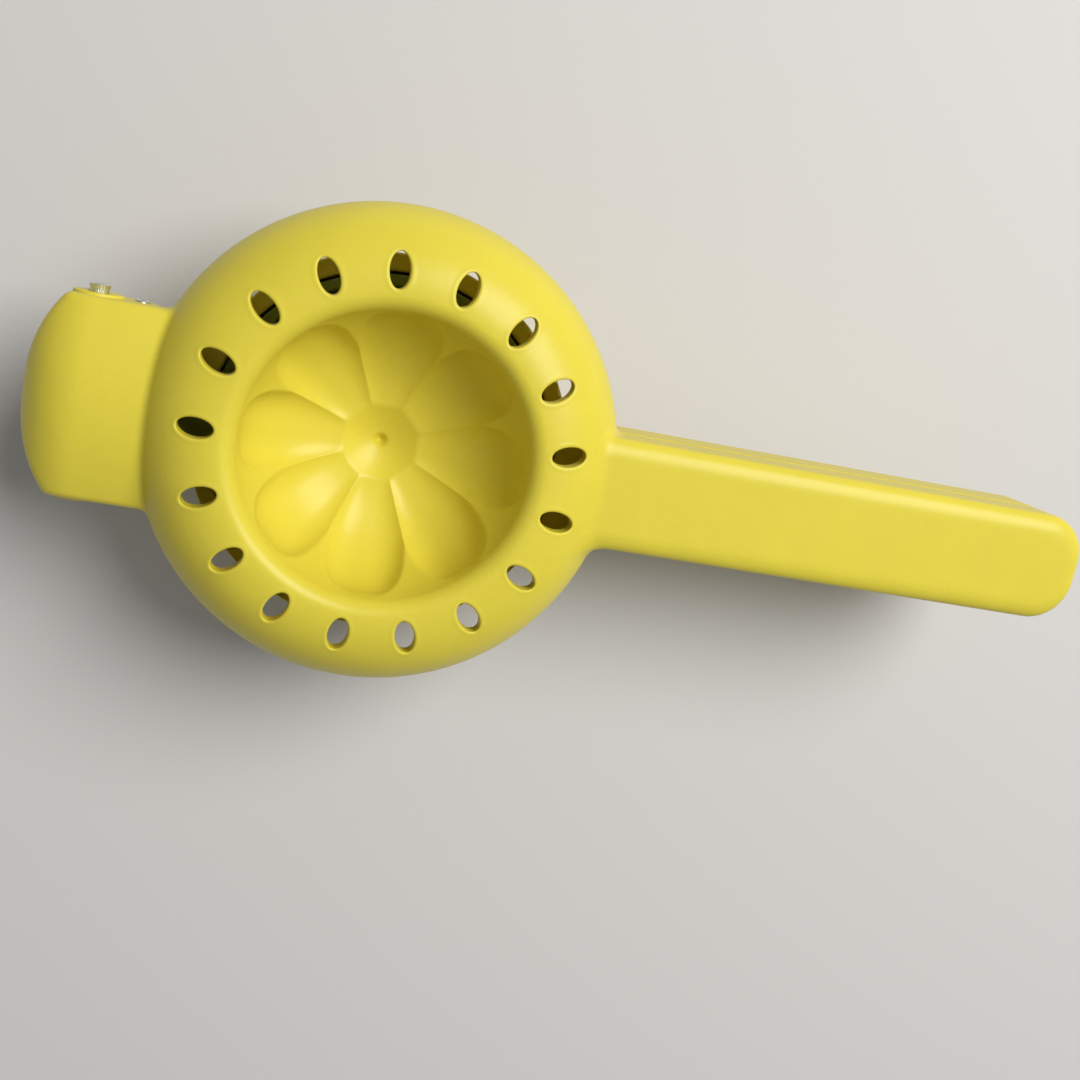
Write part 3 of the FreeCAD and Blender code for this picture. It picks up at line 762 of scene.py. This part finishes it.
@dataclass(frozen=True)
class HingeHood:
    """The hood over the hinge, with a crowned top that rolls down at the back.

    wall_shares and top_insets place the rows of its cross-section, root_steps
    and columns the points along each row.
    """

    half: float = 19.4
    crown: float = 49.0
    height: float = 9.0
    back_arc: float = 32.0
    back: float = 68.6
    roll: float = 12.0
    edge: float = 1.2
    corner: float = 2.2
    drop: float = 6.5
    rise_run: float = 3.7
    hollow: float = 14.9
    hollow_ends: Pair = (-43.5, -62.2)
    roof: float = 3.6
    boss: Pair = (4.7, 0.5)
    boss_round: float = 0.3
    boss_depth: float = 1.5
    boss_hole: float = 2.2
    boss_columns: int = 64
    wall_shares: Steps = (1.0, 0.86, 0.7, 0.52, 0.36, 0.22, 0.1)
    edge_rows: int = 8
    top_insets: Steps = (
        1.7, 2.4, 3.2, 4.2, 5.4, 6.7, 8.0, 9.4, 10.8, 12.2, 13.6, 15.0, 16.5, 18.0)
    root_steps: Steps = (0.0, 0.3, 0.6, 0.95, 1.3, 1.7, 2.2, 2.8, 3.5)
    columns: tuple[int, int, int] = (14, 8, 16)
    roll_lag: float = 0.3
    blend_top: float = 0.9
    blend_side: float = 1.4
    blend_run: float = 8.0

    def crown_height(self, x: Array, y: Array) -> Array:
        """Height of the hood's top.

        Formula: a circle across the hood about a line below it, whose radius
        shrinks along the roll's arc towards the back.
        """
        radius = self.crown - self.roll * (1.0 - np.sqrt(1.0 - self.rolled(x) ** 2))
        return self.height - self.crown + np.sqrt(radius ** 2 - y ** 2)

    def rolled(self, x: Array) -> Array:
        """Share of the roll's length that lies ahead of a place, zero to one."""
        return np.clip((self.roll - self.back - self.roll_lag - x) / self.roll, 0.0, 1.0)

    def lower_edge(self, x: Array) -> Array:
        """Height of the cheeks' lower edge: level, rounded behind, rising ahead."""
        behind = np.clip((HINGE_PIN_X - x) / self.boss[0], 0.0, 1.0)
        rounded = PIN_LEVEL - (self.drop + PIN_LEVEL) * np.sqrt(1.0 - behind ** 2)
        ahead = np.clip((x - CUP_PIN_X) / self.rise_run, 0.0, 1.0)
        return np.where(x < HINGE_PIN_X, rounded, -self.drop * (1.0 - ahead))

    def line(self, inset: float, start: float) -> Array:
        """Plan of one row on the left side, from the ring to the back's middle."""
        centre = self.back_arc - self.back
        across, arc = self.half - inset, self.back_arc - inset
        curl = max(self.corner - inset, 0.0)
        turn_x = centre - math.sqrt((arc - curl) ** 2 - (across - curl) ** 2)
        bend = math.atan2(across - curl, turn_x - centre)
        sides, corners, tails = self.columns
        near = start - np.array(self.root_steps)
        x = np.concatenate([near, np.linspace(near[-1], turn_x, sides + 1)[1:]])
        turn = np.linspace(RIGHT_ANGLE, bend, corners + 1)[1:]
        sweep = np.linspace(bend, math.pi, tails + 1)[1:]
        return np.concatenate([pack(x, across), arc_points((turn_x, across - curl), curl, turn),
                               arc_points((centre, 0.0), arc, sweep)])

    def half_skin(self, ring: StrainerRing) -> Array:
        """Outer skin of the left half, from the cheek's lower edge to the middle.

        Formula: every row follows the crown's height, less the rounding of the
        edge, and the cheek's rows share out the height under it.

        Args:
            ring: The ring that the hood grows from.

        Returns:
            Rows by points by x, y, z.
        """
        walls = [(0.0, 1.0, 0.0, share) for share in self.wall_shares]
        edges = [(self.edge * (1.0 - math.cos(turn)), math.cos(turn), math.sin(turn), 0.0)
                 for turn in np.linspace(0.0, RIGHT_ANGLE, self.edge_rows)]
        tops = [(inset, 0.0, 1.0, 0.0) for inset in (*self.top_insets, self.half)]
        skin = []
        for inset, out, up, share in walls + edges + tops:
            width = self.blend_top + (self.blend_side - self.blend_top) * out
            across = self.half - inset
            high = float(self.crown_height(np.array(CUP_PIN_X), np.array(across)))
            high = (high - self.edge * (1.0 - up)) * (1.0 - share) + up * width
            x, y = self.line(inset, -ring.meet(high, across + out * width)).T
            edge = self.edge * (1.0 - self.rolled(x) ** 2)
            height, low = self.crown_height(x, y) - edge * (1.0 - up), self.lower_edge(x)
            points = pack(x, y, height + (low - height) * share)
            points = ring.join(points, (out, up), width, self.blend_run)
            points[:, 2] = np.maximum(points[:, 2], np.minimum(low, PIN_LEVEL))
            skin.append(points)
        return np.array(skin)

    def inner_skin(self, outer: Array) -> Array:
        """Hollow of the left half: cheek, back and ceiling, column by column."""
        columns = outer.shape[1]
        straight = len(self.root_steps) + self.columns[0]
        bent = straight + self.columns[1]
        x = np.concatenate([np.linspace(*self.hollow_ends, straight),
                            np.full(columns - straight, self.hollow_ends[1])])
        y = np.concatenate([np.full(bent, self.hollow),
                            np.linspace(self.hollow, 0.0, columns - bent + 1)[1:]])
        low = np.where(np.arange(columns) < straight, self.lower_edge(x), PIN_LEVEL)
        rows = [pack(x, y, low + (self.roof - low) * share) for share in (0, 0.5, 1)]
        return np.array(rows + [pack(x, y * share, self.roof) for share in (0.5, 0)])

    def dress(self, ring: StrainerRing) -> bpy.types.Object:
        """Build the hood with its hollow."""
        shell = Shell()
        outer = self.half_skin(ring)
        inner = self.inner_skin(outer)
        for side in Side:
            shell.grid(outer * side.mirror)
            shell.grid(inner * side.mirror)
            shell.grid(np.stack([outer[0], inner[0]]) * side.mirror)
        return shell.build("strainer_hood", sharp=34.0)

    def dress_bosses(self) -> bpy.types.Object:
        """Build the round bosses that the hinge pin's ends come out of.

        Formula: a flat disc with a rounded rim, turned about the pin.
        """
        shell = Shell()
        (radius, height), bend = self.boss, self.boss_round
        rim = np.linspace(0.0, RIGHT_ANGLE, 5)
        across = np.concatenate([[radius], radius - bend + bend * np.cos(rim),
                                 [self.boss_hole, 0.0]])
        up = np.concatenate([[-self.boss_depth], height - bend + bend * np.sin(rim),
                             [height, height]])
        boss = turned(HINGE_PIN_X, (self.half + up)[:, None], across[:, None],
                      turns(self.boss_columns))
        for side in Side:
            shell.grid(boss * side.mirror, loop=True)
        return shell.build("pin_bosses", sharp=50.0)


@dataclass(frozen=True)
class Pin:
    """A steel pin along Y, with a ribbed head at its left end."""

    name: str
    x: float
    radius: float
    ends: Pair
    neck: float
    ribs: int
    rib_depth: float
    columns_per_rib: int = 8

    def outline(self) -> Array:
        """Outline from the plain end to the middle of the dished head.

        Returns:
            Rows of the place along Y, the share of the radius and the share of
            the ribs' depth.
        """
        low, high = self.ends
        neck, head = self.neck, high - self.neck
        return np.array([
            (low, 0.0, 0.0), (low, 0.93, 0.0), (low + 0.15, 1.0, 0.0), (neck, 1.0, 0.0),
            (neck, 0.9, 1.0), (neck + 0.25 * head, 0.9, 1.0), (neck + 0.6 * head, 0.93, 1.0),
            (neck + 0.82 * head, 0.985, 0.8), (high - 0.06, 1.0, 0.3), (high, 0.96, 0.0),
            (high, 0.78, 0.0), (high - 0.22, 0.62, 0.0), (high - 0.25, 0.0, 0.0)])

    def dress(self) -> bpy.types.Object:
        """Build the pin by turning its outline about its own axis.

        Formula: the radius is the outline's, less the ribs' depth times a
        cosine wave of one period to the rib.
        """
        along, share, ribbed = self.outline().T[..., None]
        angle = turns(self.ribs * self.columns_per_rib)
        wave = 0.5 - 0.5 * np.cos(angle * self.ribs)
        radius = np.maximum(self.radius * share - self.rib_depth * ribbed * wave, 0.0)
        shell = Shell()
        shell.grid(turned(self.x, along, radius, angle), loop=True)
        return shell.build(self.name, sharp=40.0)


def new_group(name: str, inputs: dict[str, str], outputs: dict[str, str]) -> Tree:
    """Make an empty shader node group.

    Args:
        name: Name of the group.
        inputs: Kind of each input by its name: Color, Float or Vector.
        outputs: The same for the outputs.

    Returns:
        The group's node tree.
    """
    tree = bpy.data.node_groups.new(name, "ShaderNodeTree")
    for way, sockets in (("INPUT", inputs), ("OUTPUT", outputs)):
        for label, kind in sockets.items():
            tree.interface.new_socket(label, in_out=way, socket_type=f"NodeSocket{kind}")
    tree.nodes.new("NodeGroupInput")
    tree.nodes.new("NodeGroupOutput")
    return tree


def fill(node: bpy.types.Node, **values: object) -> None:
    """Set a node's properties, or its inputs, with _ for each space in a name."""
    for key, value in values.items():
        if hasattr(node, key):
            setattr(node, key, value)
        else:
            node.inputs[key.replace("_", " ")].default_value = value


def add_node(tree: Tree, kind: str, **values: object) -> bpy.types.Node:
    """Add a node of this kind and fill it with these values."""
    made = tree.nodes.new(kind)
    fill(made, **values)
    return made


def connect(tree: Tree, *links: tuple) -> None:
    """Link nodes, each link given as a node, its output, a node and its input."""
    for source, output, target, entry in links:
        tree.links.new(source.outputs[output], target.inputs[entry])


def new_material(name: str, **values: object) -> tuple[bpy.types.Material, bpy.types.Node]:
    """Make a material, and return it with its shader filled with these values."""
    made = bpy.data.materials.new(name)
    made.use_nodes = True
    shader = made.node_tree.nodes["Principled BSDF"]
    fill(shader, **values)
    return made, shader


class EnamelGroups:
    """Node groups that the enamelled pieces share.

    ROUGHNESS is its spread and its lowest value.
    """

    ROUGHNESS = (0.1, 0.38)

    def __init__(self) -> None:
        """Build both groups once."""
        self.tone = self._tone()
        self.relief = self._relief()

    @staticmethod
    def _tone() -> Tree:
        """Colour of the enamel: slow mottling and fine grain."""
        tree = new_group("EnamelTone", {"Color": "Color", "Mottle": "Float", "Grain": "Float"},
                         {"Color": "Color", "Roughness": "Float"})
        gate, out = tree.nodes["Group Input"], tree.nodes["Group Output"]
        place = add_node(tree, "ShaderNodeTexCoord")
        cloud = add_node(tree, "ShaderNodeTexNoise", Scale=70.0, Detail=3.0)
        grain = add_node(tree, "ShaderNodeTexNoise", Scale=900.0, Detail=2.0)
        toned = add_node(tree, "ShaderNodeVectorMath", operation="SCALE")
        connect(tree, (place, "Object", cloud, "Vector"), (place, "Object", grain, "Vector"),
                (gate, "Color", toned, "Vector"), (toned, "Vector", out, "Color"))

        def math_node(operation: str, *sources: object) -> bpy.types.NodeSocket:
            """Add a Math node that reads sockets or numbers."""
            made = add_node(tree, "ShaderNodeMath", operation=operation)
            for socket, source in zip(made.inputs, sources):
                if isinstance(source, bpy.types.NodeSocket):
                    tree.links.new(source, socket)
                else:
                    socket.default_value = source
            return made.outputs[0]

        level = 1.0
        for texture, amount in ((grain, "Grain"), (cloud, "Mottle")):
            wave = math_node("SUBTRACT", texture.outputs["Fac"], NOISE_MEAN)
            level = math_node("MULTIPLY_ADD", wave, gate.outputs[amount], level)
        tree.links.new(level, toned.inputs["Scale"])
        tree.links.new(math_node("MULTIPLY_ADD", cloud.outputs["Fac"], *EnamelGroups.ROUGHNESS),
                       out.inputs["Roughness"])
        return tree

    @staticmethod
    def _relief() -> Tree:
        """Normal of the enamel: rounded edges, casting waves and a fine orange peel."""
        tree = new_group("EnamelRelief", {"Peel": "Float", "Wave": "Float", "Edge": "Float"},
                         {"Normal": "Vector"})
        gate, out = tree.nodes["Group Input"], tree.nodes["Group Output"]
        place = add_node(tree, "ShaderNodeTexCoord")
        wave = add_node(tree, "ShaderNodeTexNoise", Scale=110.0, Detail=1.0)
        peel = add_node(tree, "ShaderNodeTexNoise", Scale=1300.0, Detail=2.0)
        edge = add_node(tree, "ShaderNodeBevel", samples=4)
        low = add_node(tree, "ShaderNodeBump", Distance=0.0006)
        high = add_node(tree, "ShaderNodeBump", Distance=0.00006)
        connect(tree, (place, "Object", wave, "Vector"), (place, "Object", peel, "Vector"),
                (wave, "Fac", low, "Height"), (peel, "Fac", high, "Height"),
                (gate, "Edge", edge, "Radius"), (edge, "Normal", low, "Normal"),
                (gate, "Wave", low, "Strength"), (gate, "Peel", high, "Strength"),
                (low, "Normal", high, "Normal"), (high, "Normal", out, "Normal"))
        return tree


@dataclass(frozen=True)
class Enamel:
    """A coloured enamel on cast metal; edge is a radius in metres."""

    name: str
    colour: Triple
    mottle: float = 0.10
    grain: float = 0.05
    peel: float = 0.35
    wave: float = 0.22
    gloss: float = 0.16
    coat: float = 0.24
    coat_roughness: float = 0.27
    edge: float = 0.0

    def material(self, groups: EnamelGroups) -> bpy.types.Material:
        """Make the material from the shared groups.

        Args:
            groups: The enamel's node groups.

        Returns:
            The new material.
        """
        made, shader = new_material(self.name, Specular_IOR_Level=self.gloss,
                                    Coat_Weight=self.coat, Coat_Roughness=self.coat_roughness)
        tree = made.node_tree
        tone = add_node(tree, "ShaderNodeGroup", node_tree=groups.tone, Color=(*self.colour, 1.0),
                        Mottle=self.mottle, Grain=self.grain)
        relief = add_node(tree, "ShaderNodeGroup", node_tree=groups.relief, Peel=self.peel,
                          Wave=self.wave, Edge=self.edge)
        connect(tree, (tone, "Color", shader, "Base Color"),
                (tone, "Roughness", shader, "Roughness"), (relief, "Normal", shader, "Normal"))
        return made


@dataclass(frozen=True)
class Steel:
    """Bright plain steel with fine turning marks."""

    name: str
    colour: Triple = (0.82, 0.83, 0.81)
    darkest: float = 0.8
    roughness: float = 0.33

    def material(self) -> bpy.types.Material:
        """Make the material."""
        made, shader = new_material(self.name, Metallic=1.0, Roughness=self.roughness)
        tree = made.node_tree
        place = add_node(tree, "ShaderNodeTexCoord")
        marks = add_node(tree, "ShaderNodeTexNoise", Scale=2200.0, Detail=2.0)
        tint = add_node(tree, "ShaderNodeMix", data_type="RGBA")
        tint.inputs[MIX_FIRST].default_value = (*(self.darkest * c for c in self.colour), 1.0)
        tint.inputs[MIX_SECOND].default_value = (*self.colour, 1.0)
        relief = add_node(tree, "ShaderNodeBump", Distance=0.00004, Strength=0.5)
        connect(tree, (place, "Object", marks, "Vector"), (marks, "Fac", tint, MIX_FACTOR),
                (tint, MIX_RESULT, shader, "Base Color"), (marks, "Fac", relief, "Height"),
                (relief, "Normal", shader, "Normal"))
        return made


@dataclass(frozen=True)
class Squeezer:
    """All pieces of the squeezer, built and placed on their bodies."""

    ring: StrainerRing = StrainerRing()
    handle: UpperHandle = UpperHandle()
    hood: HingeHood = HingeHood()
    hinge_pin: Pin = Pin("hinge_pin_head", HINGE_PIN_X, radius=2.0, ends=(-20.0, 21.4),
                         neck=19.9, ribs=28, rib_depth=0.05)
    cup_pin: Pin = Pin("cup_pin_rod", CUP_PIN_X, radius=1.5, ends=(-19.5, 19.8),
                       neck=19.5, ribs=12, rib_depth=0.0)
    yellow: Enamel = Enamel("YellowEnamel", YELLOW)
    press_yellow: Enamel = Enamel("PressYellowEnamel", YELLOW, edge=0.0005)
    green: Enamel = Enamel("GreenEnamel", (0.19, 0.225, 0.03), edge=0.0005)
    steel: Steel = Steel("BrightSteel")

    def dress(self, frame: dict) -> None:
        """Build every piece and give each CAD node that stays its material.
        """
        groups = EnamelGroups()
        finishes = {"yellow_enamel": self.yellow.material(groups), "steel": self.steel.material()}
        made = [
            (self.ring.dress(), "yellow_enamel", ["strainer_arm"]),
            (self.handle.dress(self.ring), "yellow_enamel", []),
            (self.hood.dress(self.ring), "yellow_enamel", []),
            (self.hood.dress_bosses(), "yellow_enamel", []),
            (self.hinge_pin.dress(), "steel", ["hinge_pin"]),
            (self.cup_pin.dress(), "steel", ["cup_pin"]),
        ]
        for piece, slot, nodes in made:
            piece.data.materials.append(finishes[slot])
            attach(piece, "strainer")
            if nodes:
                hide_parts(*nodes)
            log.info("%s: %d faces", piece.name, len(piece.data.polygons))
        for node, enamel in (("press_arm", self.press_yellow), ("inner_cup", self.green)):
            finish = enamel.material(groups)
            slots = frame["nodes"][node].data.materials
            if not slots:
                slots.append(finish)
            for number in range(len(slots)):
                slots[number] = finish
            log.info("%s carried over", node)


@dataclass(frozen=True)
class Studio:
    """Floor, lamps and camera, in metres."""

    floor_half: float = 3.0
    floor_roughness: float = 0.75
    floor_colour: Triple = (0.62, 0.60, 0.57)
    world_colour: Triple = (0.86, 0.88, 0.92)
    world_strength: float = 0.27
    key_from: Triple = (0.44, 0.41, 0.80)
    key_power: float = 15.0
    key_size: float = 0.8
    key_distance: float = 1.2
    camera_place: Triple = (-0.01756, 0.03967, 0.29759)
    camera_turn: Triple = (0.234, 0.158, -0.198)
    focal: float = 1306.5
    frame_side: float = 1080.0
    sensor: float = 36.0
    nearest: float = 0.01

    def build_floor(self) -> None:
        """Add the plain pale floor."""
        mesh = bpy.data.meshes.new("floor")
        half = self.floor_half
        mesh.from_pydata([(-half, -half, 0), (half, -half, 0), (half, half, 0), (-half, half, 0)],
                         [], [(0, 1, 2, 3)])
        paint, _ = new_material("FloorPaint", Base_Color=(*self.floor_colour, 1.0),
                                Roughness=self.floor_roughness)
        mesh.materials.append(paint)
        add_object("floor", mesh)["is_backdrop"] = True

    def build_lamps(self) -> None:
        """Add the soft key lamp and the even light of the room."""
        way = Vector(self.key_from).normalized()
        lamp = bpy.data.lights.new("key", "AREA")
        lamp.shape = "DISK"
        lamp.size = self.key_size
        lamp.energy = self.key_power
        key = add_object("key", lamp)
        key.location = way * self.key_distance
        key.rotation_euler = way.to_track_quat("Z", "Y").to_euler()
        world = bpy.data.worlds.new("room")
        world.use_nodes = True
        fill(world.node_tree.nodes["Background"], Color=(*self.world_colour, 1.0),
             Strength=self.world_strength)
        bpy.context.scene.world = world

    def build_camera(self) -> None:
        """Add the camera where the photograph was taken from.

        focal and frame_side are in the photograph's pixels.
        """
        tilt, roll, yaw = self.camera_turn
        facing = (Matrix.Rotation(tilt, 3, "X") @ Matrix.Rotation(roll, 3, "Y")
                  @ Matrix.Rotation(yaw, 3, "Z"))
        lens = bpy.data.cameras.new("camera")
        lens.sensor_width = self.sensor
        lens.lens = self.focal / self.frame_side * self.sensor
        lens.clip_start = self.nearest
        camera = add_object("camera", lens)
        camera.matrix_world = Matrix.Translation(self.camera_place) @ facing.transposed().to_4x4()
        bpy.context.scene.camera = camera


def corners(bounds: tuple[Vector, Vector]) -> list[list[float]]:
    """Lowest and highest corner as plain lists."""
    return [list(corner) for corner in bounds]


def main() -> None:
    """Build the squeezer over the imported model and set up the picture."""
    logging.basicConfig(level=logging.INFO, format="%(name)s: %(message)s")
    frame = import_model()
    solid_box = corners(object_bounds())
    bpy.context.scene.view_settings.view_transform = "Standard"
    Squeezer().dress(frame)
    studio = Studio()
    studio.build_floor()
    studio.build_lamps()
    studio.build_camera()
    bpy.context.view_layer.update()
    {"cad": solid_box, "visual": corners(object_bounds())}


if __name__ == "__main__":
    main()
